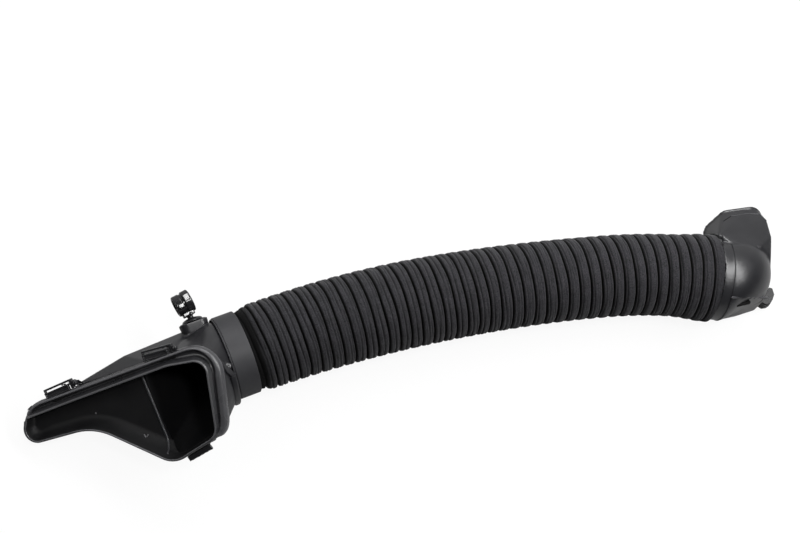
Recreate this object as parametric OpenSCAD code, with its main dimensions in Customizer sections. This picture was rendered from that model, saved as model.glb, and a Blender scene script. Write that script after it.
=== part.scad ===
// Air intake hose: a moulded scoop, a ribbed fabric hose over a spring wire, and a moulded elbow.
// It lies on the plane z = 0 as it would come to rest, the scoop's mouth up and the elbow's outlet
// down. X runs along the hose from the scoop to the elbow. All sizes are in millimetres.

/* [Hose] */
// Length of the ribbed stretch along its centreline
hose_len = 485; // [430:1:540]
// Diameter over the ridges halfway along
hose_d = 85.6; // [82:0.5:92]
// Extra diameter halfway along the first half, and as much less in the second
hose_swell = 2; // [0:0.5:4]
// Extra diameter of the last turns, which are stretched over the elbow's socket
hose_flare = 5.5; // [0:0.5:6]
// Length of that flare
flare_len = 45; // [20:1:80]
// Depth of the grooves between the ridges
groove_depth = 2.2; // [1:0.1:3]
// Distance from one ridge to the next
ridge_pitch = 11.8; // [10:0.1:14]
// Wall of the fabric under the grooves
fabric_wall = 1.5; // [1:0.1:2]
// Diameter of the spring wire
wire_d = 2; // [1.2:0.1:3]

/* [Bend] */
// Heading of the hose at the scoop, from the X axis
inlet_heading = 12; // [0:0.5:25]
// Length of the first bend
bend_a_len = 190; // [120:1:220]
// Turn of the first bend
bend_a_turn = -9.5; // [-20:0.5:-2]
// Turn of the middle bend
bend_b_turn = -6.5; // [-20:0.5:-2]
// Length of the last bend
bend_c_len = 110; // [60:1:150]
// Turn of the last bend
bend_c_turn = -11.3; // [-20:0.1:-2]

/* [Inlet joint] */
// Length of the smooth cuff
cuff_len = 21; // [15:0.5:35]
// Outer diameter of the cuff
cuff_d = 82.5; // [80:0.5:90]
// Wall of the cuff
cuff_wall = 2; // [1.5:0.1:3]
// Depth of the fabric's plain end inside the cuff, measured from the ribbed stretch
plain_end_len = 18; // [12:0.5:30]
// Wall of the moulded plastic parts
wall = 2.6; // [2:0.1:3.5]
// Gap between pieces that fit in one another
fit_gap = 0.3; // [0.2:0.05:0.5]
// Height of the shoulder behind the cuff
shoulder = 1.2; // [0.5:0.1:2]

/* [Scoop] */
// How much further the mouth's tip lies from the hose's end than the mouth is long
mouth_gap = 27; // [15:1:45]
// How far the mouth's tip lies to the side of the hose's axis
mouth_side = 15; // [5:1:25]
// How far the mouth's tip lies under the hose's axis
mouth_drop = 23; // [18:1:26]
// Roll of the mouth about its own length
mouth_roll = 26; // [15:1:35]
// Rise of the mouth towards the hose
mouth_rise = 23; // [18:1:28]
// Turn of the mouth seen from above
mouth_turn = -23; // [-35:1:-15]
// Length of the mouth inside the lip
mouth_len = 190; // [180:1:200]
// Height of the lip over the flange
lip_h = 8; // [5:0.5:12]
// Height of the rim along the flange's edge
rim_h = 4.5; // [2:0.5:7]
// Depth of the tray under the lip at its tip
tray_depth = 4; // [3:0.5:8]
// Fall of the tray's floor towards the duct
tray_fall = 5; // [2:0.5:8]
// Length of a snap loop
loop_len = 31; // [24:0.5:36]
// Width of a snap loop
loop_w = 12.5; // [10:0.5:16]
// Height of a snap loop
loop_h = 6; // [4:0.5:8]
// Places of the snap loops along the flange
loop_places = [26, 126];
// Width of the lower tab
tab_w = 27; // [18:1:34]
// Reach of the lower tab past the flange
tab_reach = 7; // [4:0.5:10]

/* [Line clip] */
// Distance of the clip's pad before the hose's end
pad_back = 38; // [34:1:46]
// Lean of the clip away from the hose
clip_lean = 8; // [0:1:20]
// Length of the oval pad
pad_len = 26; // [22:0.5:32]
// Width of the oval pad
pad_w = 14; // [12:0.5:18]
// Distance of the pad's face from the hose's axis
pad_out = 45; // [43:0.5:50]
// Radius of the line that the clip holds
line_r = 7.5; // [5:0.1:8]
// Wall of the clip's ring
ring_wall = 3.5; // [2.5:0.1:4]
// Width of the clip's ring
ring_w = 17; // [12:0.5:20]
// Height of the ring's centre over the pad
ring_up = 19; // [18:0.5:24]
// Radius of the clip's stem
stem_r = 3; // [2.5:0.1:4]

/* [Elbow] */
// Length of the socket's collar that shows past the fabric
collar_len = 14; // [8:0.5:20]
// Outer diameter of the collar
collar_d = 84; // [82:0.5:88]
// Depth of the socket inside the hose
socket_len = 24; // [15:1:32]
// Distance from the hose's end to the outlet's front edge
outlet_reach = 45; // [42:1:50]
// Distance of the outlet's front edge to the side of the hose's axis
outlet_side = 27.7; // [26:0.1:32]
// Distance of the outlet's front edge under the hose's axis
outlet_drop = 43.2; // [42:0.1:43.8]
// Tilt of the outlet's plane from the floor
outlet_tilt = 45; // [43:1:55]
// Turn of the outlet seen from above
outlet_turn = 15.3; // [10:0.1:20]
// Reach of the rim to the hose's side of its front edge
rim_left = 37; // [34:1:38]
// Reach of the rim to the far side of its front edge
rim_right = 22; // [20:1:26]
// Reach of the rim from its front edge to the back
rim_back = 75; // [70:1:80]
// Reach of the shelf in front of the rim
shelf_reach = 39; // [34:1:42]
// Thickness of the shelf
shelf_t = 3.4; // [2.5:0.1:5]
// Thickness of the rim's flange
flange_t = 3; // [2:0.1:5]
// How far the rim's flange stands out past the body
flange_out = 3; // [2:0.5:6]

/* [Hidden] */
$fn = 64;
// Facets of the rounded ends that hulls are drawn over
hull_fn = 32;
// Sides of the fabric tube, and of one turn of the wire
hose_sides = 24;
wire_steps = 20;
wire_sides = 5;
// Where on a ridge its rows of points lie, and how far each lies under the crest
row_at = [0, 0.2, 0.5, 0.8];
row_sink = [1, 0.12, 0, 0.12];
rows = len(row_at);
// Radii that follow from the sizes above
ridge_r = hose_d / 2;
end_r = ridge_r + hose_flare / 2 - 0.6;
axis_z = end_r;
cuff_in_r = cuff_d / 2 - cuff_wall;
plain_r = cuff_in_r - fit_gap;
plain_in_r = plain_r - fabric_wall;
spigot_r = plain_in_r * cos(180 / hose_sides) - fit_gap;
hose_in_r = ridge_r - hose_swell / 2 - groove_depth - fabric_wall;
// The socket is straight, so it also leaves room for the bend of the hose around it
bend_sag = pow(socket_len, 2) * abs(bend_c_turn) * PI / 360 / bend_c_len;
socket_r = hose_in_r * cos(180 / hose_sides) - fit_gap - bend_sag;
collar_in_r = socket_r - wall;
// The hose's inlet end, set so that the origin lies under the middle of the whole part
inlet_x = 70 - hose_len / 2;
inlet_y = 15;
bend_b_len = hose_len - bend_a_len - bend_c_len;
outlet_heading = inlet_heading + bend_a_turn + bend_b_turn + bend_c_turn;

// End of an arc of a given length and turn that starts at p = [x, y, heading]
function along(p, s, turn) =
    let (r = s / turn * 180 / PI, h = p[2])
    s == 0 ? p : [p[0] + r * (sin(h + turn) - sin(h)), p[1] - r * (cos(h + turn) - cos(h)), h + turn];

inlet_end = [inlet_x, inlet_y, inlet_heading];
bend_a_end = along(inlet_end, bend_a_len, bend_a_turn);
bend_b_end = along(bend_a_end, bend_b_len, bend_b_turn);
outlet_end = along(bend_b_end, bend_c_len, bend_c_turn);

// Point and heading of the centreline at a length s from the inlet end
function centre(s) =
    s < 0 ? [inlet_x + s * cos(inlet_heading), inlet_y + s * sin(inlet_heading), inlet_heading]
    : s < bend_a_len ? along(inlet_end, s, bend_a_turn * s / bend_a_len)
    : s < bend_a_len + bend_b_len
        ? along(bend_a_end, s - bend_a_len, bend_b_turn * (s - bend_a_len) / bend_b_len)
    : along(bend_b_end, s - bend_a_len - bend_b_len,
        bend_c_turn * (s - bend_a_len - bend_b_len) / bend_c_len);

// Point at length s, radius r and angle a around the centreline
function around(s, r, a) =
    let (c = centre(s))
    [c[0] - r * cos(a) * sin(c[2]), c[1] + r * cos(a) * cos(c[2]), axis_z + r * sin(a)];

function ease(t) = let (u = max(0, min(1, t))) u * u * (3 - 2 * u);

// Crest radius of the ridges: a slow swell, then the flare over the socket
function crest_r(s) =
    ridge_r + hose_swell / 2 * sin(360 * s / hose_len)
    + hose_flare / 2 * ease((s - hose_len + flare_len) / flare_len);

// Radius of the fabric's outside, with the first turn drawn in to the plain end
function outside_r(s, sink) =
    let (full = crest_r(s) - groove_depth * sink)
    plain_r + (full - plain_r) * ease(s / ridge_pitch / 1.5);

// Rounded outline through corners [x, y, r], listed anticlockwise
function turn_dir(a, b) = (b - a) / norm(b - a);
function round_corner(p, c, n) =
    let (
        at = [c[0], c[1]],
        back = turn_dir(at, [p[0], p[1]]),
        on = turn_dir(at, [n[0], n[1]]),
        half = acos(back * on) / 2,
        mid = (back + on) / norm(back + on),
        hub = at + mid * c[2] / sin(half),
        side = sign(back[0] * on[1] - back[1] * on[0]),
        first = atan2(-mid[1], -mid[0]) + side * (90 - half),
        steps = max(3, ceil((90 - half) / 6))
    )
    [for (i = [0:steps]) hub + c[2] * [
        cos(first - side * (180 - 2 * half) * i / steps),
        sin(first - side * (180 - 2 * half) * i / steps)]];
function outline(corners) =
    let (n = len(corners))
    [for (i = [0:n - 1])
        each round_corner(corners[(i + n - 1) % n], corners[i], corners[(i + 1) % n])];

// The same corners moved in by d, with radii that keep the wall even
function inset(corners, d) =
    let (n = len(corners))
    [for (i = [0:n - 1])
        let (
            c = corners[i],
            at = [c[0], c[1]],
            p = corners[(i + n - 1) % n],
            q = corners[(i + 1) % n],
            came = turn_dir([p[0], p[1]], at),
            goes = turn_dir(at, [q[0], q[1]]),
            in_a = [-came[1], came[0]],
            in_b = [-goes[1], goes[0]],
            bend = sign(came[0] * goes[1] - came[1] * goes[0]),
            moved = at + d * (in_a + in_b) / (1 + in_a * in_b)
        )
        [moved[0], moved[1], max(0.6, c[2] - bend * d)]];

// Corners of the lip, from the tip along the lower side and back along the upper side
mouth_reach = mouth_len + mouth_gap;
right_x = mouth_len + 2;
lip_corners = [
    [-7, -25, 13], [70, -9.6, 55], [right_x - 47, -48.5, 24], [right_x, -24, 16],
    [right_x - 2, 51, 14], [right_x - 42, 47, 60], [50, 19, 60], [2, 5, 5]];
// Reach of the shapes that cut the tray, well past the mouth on all sides
past = 2 * mouth_len;
// Corners of the flange, which stands out along the upper and right sides
flange_corners = [
    [-6.4, -24.5, 12.5], [70, -9, 55], [right_x - 47, -47.8, 24], [right_x + 8, -21, 18],
    [right_x + 9, 68, 26], [3, 13.5, 12]];
// Where the tray ends and the duct begins, on the upper and the lower side
ridge_top = [right_x - 77, 36];
ridge_low = [right_x - 56, -42];
// Height of the tray's floor there, from the lip's edge
ridge_floor = -lip_h - tray_depth - ridge_low[0] * tan(tray_fall);
edge_from = flange_corners[5];
edge_to = flange_corners[4];
upper_edge_angle = atan2(edge_to[1] - edge_from[1], edge_to[0] - edge_from[0]);
lower_edge_angle = atan2(27, 58.5);

// Frames of the hose's two ends, with X along the hose, and of the mouth and the outlet
module at_inlet() {
    translate([inlet_x, inlet_y, axis_z]) rotate([0, 0, inlet_heading]) children();
}
module at_outlet() {
    translate([outlet_end[0], outlet_end[1], axis_z]) rotate([0, 0, outlet_heading]) children();
}
module at_mouth() {
    translate([-mouth_reach, mouth_side, -mouth_drop])
        rotate([mouth_roll, -mouth_rise, mouth_turn]) children();
}
module at_rim() {
    translate([outlet_reach, outlet_side, -outlet_drop])
        rotate([outlet_tilt, 0, outlet_turn]) children();
}

// Tube or rod along X from x0 to x1
module rod_x(x0, x1, r) {
    translate([x0, 0, 0]) rotate([0, 90, 0]) cylinder(h = x1 - x0, r = r);
}

// Slab of the mouth's outline between two heights
module mouth_slab(corners, z0, z1) {
    translate([0, 0, z0]) linear_extrude(height = z1 - z0) polygon(outline(corners));
}

// Everything above the tray's sloping floor, lowered by d
module above_floor(d) {
    translate([0, 0, -tray_depth - lip_h - d]) rotate([0, tray_fall, 0])
        translate([-past / 2, -past / 2, 0]) cube([2 * past, past, past]);
}

// Part of the mouth's outline beyond the edge where the tray ends
module duct_side(corners, d) {
    intersection() {
        polygon(outline(inset(corners, d)));
        polygon([
            ridge_low + [d - wall, -20], [past, -mouth_len / 2], [past, mouth_len / 2],
            ridge_top + [d - wall, 20]]);
    }
}

// The duct between the mouth and the neck, drawn in by d on all sides
module duct(d, top, back) {
    hull() {
        at_mouth() translate([0, 0, ridge_floor - wall + d])
            linear_extrude(height = top - ridge_floor + wall - d) duct_side(lip_corners, 0.5 + d);
        translate([-cuff_len - 6, 0, 0]) rotate([0, 90, 0])
            cylinder(h = back, r = spigot_r + shoulder - d, $fn = hull_fn);
    }
}

// One snap loop on the flange's upper edge, with its round stop at the right end
module snap_loop(place) {
    translate([edge_from[0], edge_from[1], 0.3 - lip_h - wall])
        rotate([0, 0, upper_edge_angle]) translate([place, 0, 0]) {
            difference() {
                translate([0, -3, 0]) cube([loop_len, loop_w, loop_h]);
                translate([2.5, 3, -1]) cube([loop_len - 6, loop_w - 9.5, loop_h + 2]);
            }
            translate([loop_len, loop_w - 7.5, 0]) cylinder(h = loop_h + 1.5, r = 4);
        }
}

// Pad for the line clip, as an oval block that reaches into the neck
module clip_pad() {
    half = (pad_len - pad_w) / 2;
    for (x = [-half, half]) translate([x, 0, -14]) cylinder(h = 14, d = pad_w);
    translate([-half, -pad_w / 2, -14]) cube([2 * half, pad_w, 14]);
}
module at_pad() {
    translate([-pad_back, 0, 0]) rotate([-78, 0, 0]) translate([0, 0, pad_out]) children();
}

module intake_scoop() {
    color([0.17, 0.17, 0.18])
    at_inlet() difference() {
        union() {
            duct(0, -lip_h - 1, 5);
            at_mouth() {
                mouth_slab(lip_corners, -lip_h - wall - 0.4, 0);
                difference() {
                    mouth_slab(flange_corners, -lip_h - wall, -lip_h + rim_h);
                    mouth_slab(inset(flange_corners, wall), -lip_h, rim_h);
                }
                intersection() {
                    mouth_slab(inset(lip_corners, 0.4), -past, -lip_h - 0.5);
                    above_floor(wall);
                    linear_extrude(height = 2 * past, center = true) polygon([
                        [-past, -past], ridge_low + [2, -20], ridge_top + [2, 20],
                        [-past, past]]);
                }
                for (place = loop_places) snap_loop(place);
                translate([right_x - 37, -42, 0.3 - lip_h - wall]) rotate([0, 0, lower_edge_angle])
                    translate([0, -tab_reach, 0]) cube([tab_w, tab_reach + 8, wall - 0.6]);
            }
            // Side web from the flange to the neck
            hull() {
                at_mouth() translate([56, 31, -lip_h - 4]) sphere(d = wall, $fn = 16);
                at_mouth() translate([132, 47, -lip_h - 2]) sphere(d = wall, $fn = 16);
                at_mouth() translate([98, 51, -lip_h - 20]) sphere(d = wall, $fn = 16);
                translate([-cuff_len - 20, spigot_r + 2, 0]) sphere(d = wall, $fn = 16);
                translate([-cuff_len - 3, spigot_r - wall / 2, 0]) sphere(d = wall, $fn = 16);
            }
            rod_x(-cuff_len - 4.5, 2, spigot_r);
            at_pad() clip_pad();
            // Round nub that the cuff's tab snaps behind
            translate([-cuff_len - 5, -16, spigot_r - 3]) cylinder(h = 8, r = 3);
        }
        at_mouth() intersection() {
            mouth_slab(inset(lip_corners, wall), -past, 1);
            above_floor(0);
        }
        duct(wall, 1, 2);
        rod_x(-cuff_len - 5.5, 3, spigot_r - wall);
        at_pad() translate([0, 0, -15]) cylinder(h = 16, r = stem_r + fit_gap);
    }
}

module inlet_cuff() {
    color([0.24, 0.24, 0.25])
    at_inlet() {
        rotate([0, -90, 0]) rotate_extrude() polygon([
            [cuff_in_r, 0], [cuff_d / 2 - 1, 0], [cuff_d / 2 - 0.5, 0.5],
            [cuff_d / 2, cuff_len - 1], [cuff_d / 2 - 0.6, cuff_len], [cuff_in_r, cuff_len]]);
        // Wedge-shaped tab beside the nub
        rotate([10, 0, 0]) translate([-cuff_len - 3, -2, cuff_in_r + 1])
            cube([4, 9, cuff_wall - 0.6]);
    }
}

// The fabric: one tube, ribbed by rows that climb along it as the wire does
turns = floor((hose_len - ridge_pitch / 2) / ridge_pitch) - 1;
steps = hose_sides * turns;
long_row = steps + hose_sides + 1;
function fabric_at(i, r) =
    let (s = ridge_pitch * (i / hose_sides + row_at[r]))
    around(s, outside_r(s, row_sink[r]), 360 * i / hose_sides);
function row_index(i, r) =
    r == rows ? i + hose_sides : r == 0 ? i : long_row + (r - 1) * (steps + 1) + i;
function ring(s, r) = [for (j = [0:hose_sides - 1]) around(s, r, 360 * j / hose_sides)];
ribbed_points = [
    for (i = [0:long_row - 1]) fabric_at(i, 0),
    for (r = [1:rows - 1]) for (i = [0:steps]) fabric_at(i, r)];
inner_steps = 16;
plain_rings = [
    [hose_len, end_r],
    [hose_len, hose_in_r],
    for (k = [1:inner_steps]) [hose_len - (hose_len - ridge_pitch) * k / inner_steps, hose_in_r],
    [0, plain_in_r],
    [-plain_end_len, plain_in_r],
    [-plain_end_len, plain_r],
    [-fit_gap, plain_r]];
first_ring = len(ribbed_points);
last_ring = first_ring + (len(plain_rings) - 1) * hose_sides;

module hose_fabric() {
    n = hose_sides;
    points = concat(ribbed_points, [for (p = plain_rings) each ring(p[0], p[1])]);
    ribbed = [
        for (r = [0:rows - 1]) for (i = [0:steps - 1])
            each [
                [row_index(i, r), row_index(i + 1, r + 1), row_index(i + 1, r)],
                [row_index(i, r), row_index(i, r + 1), row_index(i + 1, r + 1)]]];
    // Collars that close the climbing rows onto the flat rings at both ends
    start = [
        for (j = [0:n - 1]) each [
            [last_ring + j, row_index(j + 1, 0), last_ring + (j + 1) % n],
            [last_ring + j, row_index(j, 0), row_index(j + 1, 0)]],
        for (r = [0:rows - 1]) [last_ring, row_index(0, r + 1), row_index(0, r)]];
    finish = [
        for (j = [0:n - 1]) each [
            [first_ring + j, row_index(steps + j + 1, 0), row_index(steps + j, 0)],
            [first_ring + j, first_ring + (j + 1) % n, row_index(steps + j + 1, 0)]],
        for (r = [0:rows - 1]) [first_ring, row_index(steps, r), row_index(steps, r + 1)]];
    flat = [
        for (k = [0:len(plain_rings) - 2]) for (j = [0:n - 1])
            let (a = first_ring + k * n, b = a + n, m = (j + 1) % n)
            each [[a + j, b + m, a + m], [a + j, b + j, b + m]]];
    color([0.10, 0.10, 0.11])
    polyhedron(points = points, faces = concat(ribbed, start, finish, flat));
}

// The spring wire inside the fabric, against its wall
module hose_wire() {
    wire_r = hose_in_r * cos(180 / hose_sides) - fit_gap - wire_d / 2;
    from = 1.5 * ridge_pitch;
    count = floor((hose_len - socket_len - wire_d - 2 - from) / ridge_pitch) * wire_steps;
    points = [
        for (i = [0:count]) for (k = [0:wire_sides - 1])
            let (b = 360 * k / wire_sides)
            around(from + ridge_pitch * i / wire_steps + wire_d / 2 * sin(b),
                wire_r + wire_d / 2 * cos(b), 360 * i / wire_steps)];
    faces = [
        [for (k = [wire_sides - 1:-1:0]) k],
        for (i = [0:count - 1]) for (k = [0:wire_sides - 1])
            let (a = i * wire_sides, b = a + wire_sides, m = (k + 1) % wire_sides)
            each [[a + k, a + m, b + m], [a + k, b + m, b + k]],
        [for (k = [0:wire_sides - 1]) count * wire_sides + k]];
    color([0.55, 0.56, 0.58])
    polyhedron(points = points, faces = faces);
}

// Height of the shelf's underside over the rim's front edge
shelf_up = 0.8;
// Corners of the outlet's rim, from the front edge round to the slanted back corner
rim_corners = [
    [-rim_left, 0, 16], [rim_right, 0, 16], [rim_right + 1, rim_back, 16],
    [-rim_left + 15, rim_back, 12], [-rim_left - 6, rim_back - 18, 12]];
// Corners of the flat shelf under the elbow's front, which are counted from the rim's front edge
shelf_corners = [
    [-rim_left - 6, -8.5 - shelf_reach, 14], [rim_right - 5, -shelf_reach, 12],
    [rim_right, shelf_up / 2, 1], [-rim_left + 6, shelf_up / 2, 1]];
// Centres and radii of the rounded corners of the elbow's body, from the hose's end
body_corners = [
    [23.5, 44, 22.5, 16], [41.5, 46.5, 23, 14], [52, -11, 9, 14], [42, -8, 18, 16],
    [47, 3, -26, 15]];

// Bulk of the elbow between the collar and the rim, drawn in by d
module elbow_bulk(d) {
    hull() {
        rotate([0, 90, 0]) translate([0, 0, collar_len - 2])
            cylinder(h = 2 + d, r = collar_d / 2 - d, $fn = hull_fn);
        at_rim() translate([0, 0, d > 0 ? -1 : 0.5]) linear_extrude(height = flange_t + 0.5)
            polygon(outline(inset(rim_corners, flange_out + d)));
        for (c = body_corners) translate([c[0], c[1], c[2]]) sphere(r = c[3] - d, $fn = hull_fn);
    }
}

module outlet_elbow() {
    color([0.17, 0.17, 0.18])
    at_outlet() difference() {
        union() {
            difference() {
                union() {
                    elbow_bulk(0);
                    at_rim() linear_extrude(height = flange_t) polygon(outline(rim_corners));
                }
                // Room for the fabric's end
                rod_x(-socket_len, fit_gap, ridge_r + hose_flare / 2 + fit_gap);
            }
            rod_x(fit_gap, collar_len, collar_d / 2);
            rod_x(-socket_len, collar_len, socket_r);
            // Shelf with the ear at its front corner
            translate([outlet_reach, outlet_side, shelf_up - outlet_drop])
                    rotate([0, 0, outlet_turn]) {
                linear_extrude(height = shelf_t) polygon(outline(shelf_corners));
                translate([rim_right, 4 - shelf_reach, 0.6]) cylinder(h = 8.4, r = 7);
            }
        }
        elbow_bulk(wall);
        rod_x(-socket_len - 1, collar_len + wall, collar_in_r);
    }
}

module line_clip() {
    ring_r = line_r + ring_wall;
    color([0.05, 0.05, 0.055])
    at_inlet() at_pad() {
        // Stem with its spread foot on the pad
        translate([0, 0, -10]) cylinder(h = 15, r = stem_r);
        translate([0, 0, fit_gap]) cylinder(h = 2.2, r1 = 7, r2 = 4.4);
        rotate([0, -clip_lean, 0]) difference() {
            union() {
                translate([-ring_w / 2 + 2, -5, 4]) cube([ring_w - 4, 10, ring_up - ring_r]);
                translate([0, 0, ring_up]) rod_x(-ring_w / 2, ring_w / 2, ring_r);
                // Latch at the side of the ring
                translate([-ring_w / 2 + 1, -ring_r - 1.2, ring_up - 4]) cube([ring_w - 2, 3, 9]);
            }
            translate([0, 0, ring_up]) rod_x(-ring_w, ring_w, line_r);
            // Groove between the ring's two bands
            translate([0, 0, ring_up]) rotate([0, 90, 0]) difference() {
                cylinder(h = 1.6, r = ring_r + 2, center = true);
                cylinder(h = 2, r = ring_r - 1, center = true);
            }
        }
    }
}

intake_scoop();
inlet_cuff();
hose_fabric();
hose_wire();
outlet_elbow();
line_clip();
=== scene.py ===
# Air intake hose for an engine bay: an open moulded scoop, a ribbed felt hose over a spring wire,
# and a moulded elbow, with a glossy clip for a thin line on the scoop's neck.
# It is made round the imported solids. Sizes are in millimetres, and MM turns them into metres.
import math
import random

import bmesh
import bpy
import numpy as np
from mathutils import Matrix, Vector


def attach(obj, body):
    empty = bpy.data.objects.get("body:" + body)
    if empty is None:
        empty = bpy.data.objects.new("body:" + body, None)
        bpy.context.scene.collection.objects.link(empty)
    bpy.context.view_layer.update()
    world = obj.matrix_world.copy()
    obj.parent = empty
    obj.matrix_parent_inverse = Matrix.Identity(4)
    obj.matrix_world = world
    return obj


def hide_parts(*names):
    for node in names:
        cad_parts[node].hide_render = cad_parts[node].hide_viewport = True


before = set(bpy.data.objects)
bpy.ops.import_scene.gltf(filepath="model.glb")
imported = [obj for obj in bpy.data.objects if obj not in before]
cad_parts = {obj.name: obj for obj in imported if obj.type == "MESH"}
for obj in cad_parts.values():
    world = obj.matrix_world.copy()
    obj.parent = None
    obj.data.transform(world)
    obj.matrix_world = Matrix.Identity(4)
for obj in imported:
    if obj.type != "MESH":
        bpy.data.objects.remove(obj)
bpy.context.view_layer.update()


# The spring wire: drawn steel, wound as a helix that keeps the hose round and open. The sleeve is
# drawn in between its turns, so it shows only at the hose's ends.
MM = 0.001
wire_shade = (0.30, 0.30, 0.31)
wire_bright = (0.46, 0.46, 0.48)


def new_material(name):
    """An empty material with its Principled shader, ready for a finish."""
    material = bpy.data.materials.new(name)
    material.use_nodes = True
    nodes = material.node_tree.nodes
    shader = nodes["Principled BSDF"]
    return material, nodes, material.node_tree.links, shader


def grain_group():
    """Node group: fine surface grain, with a slow mottle and a height for bump."""
    group = bpy.data.node_groups.new("surface grain", "ShaderNodeTree")
    face = group.interface
    for name, value in (("Grain size", 1.0), ("Mottle size", 12.0)):
        socket = face.new_socket(name=name, in_out="INPUT", socket_type="NodeSocketFloat")
        socket.default_value = value
    for name in ("Grain", "Mottle"):
        face.new_socket(name=name, in_out="OUTPUT", socket_type="NodeSocketFloat")
    nodes, links = group.nodes, group.links
    take = nodes.new("NodeGroupInput")
    give = nodes.new("NodeGroupOutput")
    place = nodes.new("ShaderNodeTexCoord")
    for label, detail, out in (("Grain size", 3.0, "Grain"), ("Mottle size", 4.0, "Mottle")):
        rate = nodes.new("ShaderNodeMath")
        rate.operation = "DIVIDE"
        rate.inputs[0].default_value = 1.0 / MM
        links.new(take.outputs[label], rate.inputs[1])
        noise = nodes.new("ShaderNodeTexNoise")
        noise.inputs["Detail"].default_value = detail
        links.new(place.outputs["Object"], noise.inputs["Vector"])
        links.new(rate.outputs[0], noise.inputs["Scale"])
        links.new(noise.outputs["Fac"], give.inputs[out])
    return group


surface_grain = grain_group()


def add_grain(nodes, grain_mm, mottle_mm):
    node = nodes.new("ShaderNodeGroup")
    node.node_tree = surface_grain
    node.inputs["Grain size"].default_value = grain_mm
    node.inputs["Mottle size"].default_value = mottle_mm
    return node


def mix_colour(nodes, links, mask, low, high):
    """Colour between two values, chosen by a mask from 0 to 1."""
    ramp = nodes.new("ShaderNodeValToRGB")
    ramp.color_ramp.elements[0].color = (*low, 1)
    ramp.color_ramp.elements[1].color = (*high, 1)
    links.new(mask, ramp.inputs["Fac"])
    return ramp


def spread(nodes, links, value, low, high):
    """Value from 0 to 1 spread between low and high."""
    node = nodes.new("ShaderNodeMapRange")
    node.inputs["To Min"].default_value = low
    node.inputs["To Max"].default_value = high
    links.new(value, node.inputs["Value"])
    return node.outputs["Result"]


wire_steel, nodes, links, shader = new_material("drawn wire")
wire_grain = add_grain(nodes, 0.4, 15.0)
wire_tone = mix_colour(nodes, links, wire_grain.outputs["Mottle"], wire_shade, wire_bright)
links.new(wire_tone.outputs["Color"], shader.inputs["Base Color"])
links.new(spread(nodes, links, wire_grain.outputs["Grain"], 0.25, 0.42),
          shader.inputs["Roughness"])
shader.inputs["Metallic"].default_value = 1.0
for wire_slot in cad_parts["hose_wire"].material_slots:
    wire_slot.material = wire_steel


# The hose's sleeve: felted fabric drawn tight over a spring wire, so that it stands up in one
# round ridge a turn with a narrow groove beside it and fine wrinkles where it is pulled in.
# Its plain left end is pushed into the cuff and its right end is stretched over the elbow.
hose_len = 485.0
hose_crest_r = 42.8
hose_swell = 1.0
hose_flare = 2.75
flare_len = 45.0
ridge_pitch = 11.8
groove_depth = 3.0
fabric_wall = 1.5
plain_r = 38.95
plain_end_len = 18.0
rest_sink = 0.6
axis_z = hose_crest_r + hose_flare - rest_sink
inlet_heading = 12.0
hose_start = (-172.5, 15.0, math.radians(inlet_heading))
# Length and turn of each bend of the hose, from the scoop to the elbow
hose_bends = ((190.0, math.radians(-9.5)), (185.0, math.radians(-6.5)),
              (110.0, math.radians(-11.3)))
# Half widths of the groove and of the three finer folds on each ridge, and the folds' depths
groove_half = 1.05
fold_halves = (0.75, 0.6, 0.6)
fold_depths = (1.25, 0.75, 0.60)
crown_drop = 0.9
floor_clear = 0.1
ridge_rows = 24
lining_rings = 44
sleeve_sides = 84
felt_dark = (0.005, 0.005, 0.0055)
felt_light = (0.041, 0.040, 0.0455)


def ease(t):
    t = np.clip(t, 0.0, 1.0)
    return t * t * (3 - 2 * t)


def hose_centre(s):
    """Place and heading of the hose's centreline at length s from its start."""
    s = np.asarray(s, float)
    x = np.full_like(s, hose_start[0])
    y = np.full_like(s, hose_start[1])
    h = np.full_like(s, hose_start[2])
    before = np.minimum(s, 0.0)
    x += before * math.cos(hose_start[2])
    y += before * math.sin(hose_start[2])
    left = np.maximum(s, 0.0)
    for length, turn in hose_bends:
        part = np.clip(left, 0.0, length)
        r = length / turn
        a = part / length * turn
        x += r * (np.sin(h + a) - np.sin(h))
        y -= r * (np.cos(h + a) - np.cos(h))
        h += a
        left = left - part
    return x + left * np.cos(h), y + left * np.sin(h), h


def on_hose(s, r, a):
    """Points at length s, radius r and angle a round the hose's centreline."""
    x, y, h = hose_centre(s)
    return np.stack([x - r * np.cos(a) * np.sin(h), y + r * np.cos(a) * np.cos(h),
                     axis_z + r * np.sin(a)], axis=-1)


def crest_r(s):
    return (hose_crest_r + hose_swell * np.sin(2 * np.pi * s / hose_len)
            + hose_flare * ease((s - hose_len + flare_len) / flare_len))


def drift(s, a, seed, turns=(1, 2, 3, 5), rates=(0.35, 0.8, 1.7, 2.9)):
    """Slow wandering between about -1 and 1 over the sleeve, the same on every run."""
    draw = random.Random(seed)
    total = np.zeros(np.broadcast(s, a).shape)
    for n, rate in zip(turns, rates):
        total += np.sin(n * a + rate * s / ridge_pitch + draw.uniform(0, 6.28)) / len(turns) ** 0.5
    return total


def dent(f, place, width_mm):
    """Narrow groove at a place on the pitch, 1 at its bottom."""
    off = (f - place + 0.5) % 1.0 - 0.5
    return np.exp(-(off * ridge_pitch / width_mm) ** 2)


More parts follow.
